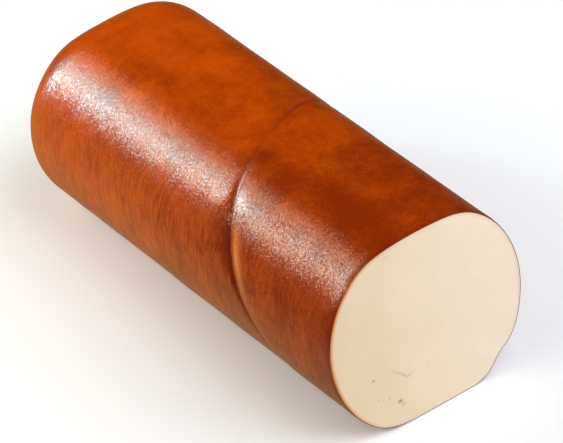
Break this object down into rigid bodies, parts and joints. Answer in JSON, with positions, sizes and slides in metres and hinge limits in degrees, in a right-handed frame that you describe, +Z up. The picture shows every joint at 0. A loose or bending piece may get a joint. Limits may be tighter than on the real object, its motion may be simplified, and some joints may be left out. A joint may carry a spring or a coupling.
{
  "type": "smoked processed cheese roll",
  "caption": "Smoked processed cheese roll, cut square at one end and rounded at the other, with a brown smoked skin and pale paste.",
  "frame": {"origin": "middle of the roll's footprint, on the plane that it rests on", "axes": "+X along the roll towards the cut face, +Z up from the lower flat, +Y across the roll"},
  "size_m": [0.2214, 0.0806, 0.0739],
  "materials": {
    "smoked_skin": "thin smoked skin of the cheese: amber to red-brown, satin with a fine grain",
    "cheese_paste": "cut processed cheese: smooth pale cream paste with a few small pores"
  },
  "bodies": {
    "root": {"cheese_roll": "smoked_skin"}
  },
  "joints": []
}
